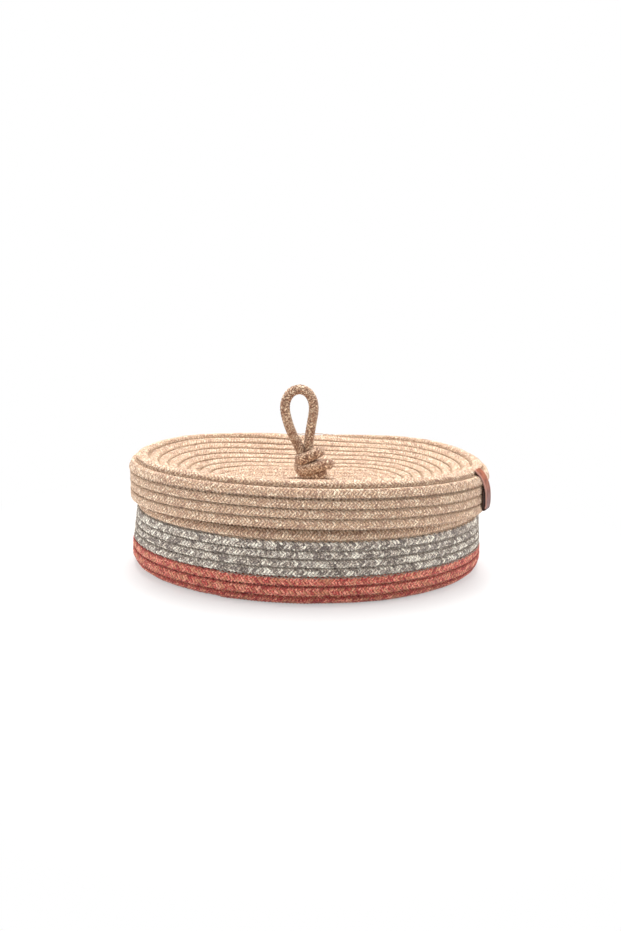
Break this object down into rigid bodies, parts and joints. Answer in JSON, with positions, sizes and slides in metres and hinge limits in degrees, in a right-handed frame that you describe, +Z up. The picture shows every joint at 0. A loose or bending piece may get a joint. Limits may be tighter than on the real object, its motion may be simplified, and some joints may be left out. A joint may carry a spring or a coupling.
{
  "type": "lidded coiled cord basket",
  "caption": "Oval basket coiled from braided cotton cord, with a dished lift-off lid, a knotted cord loop handle and a leather side tag.",
  "frame": {"origin": "middle of the flat underside, at the centre of the oval", "axes": "+Z up, +X along the basket's long side towards the leather tag, -Y to the front"},
  "size_m": [0.3, 0.2, 0.1512],
  "materials": {
    "coral_cotton": "braided melange cotton, matte",
    "grey_cotton": "braided melange cotton, matte",
    "beige_cotton": "braided melange cotton, matte",
    "tan_cotton": "braided melange cotton, matte",
    "tag_leather": "smooth, slightly waxy"
  },
  "bodies": {
    "basket": {"coral_cord": "coral_cotton", "grey_cord": "grey_cotton", "collar_cord": "beige_cotton"},
    "lid": {"lid_cord": "beige_cotton", "handle_cord": "tan_cotton", "handle_knot": "tan_cotton", "leather_tag": "tag_leather"}
  },
  "joints": [
    {"name": "lid_lift", "type": "slide", "parent": "basket", "child": "lid", "axis": [0, 0, 1], "range_m": [0, 0.08]}
  ]
}
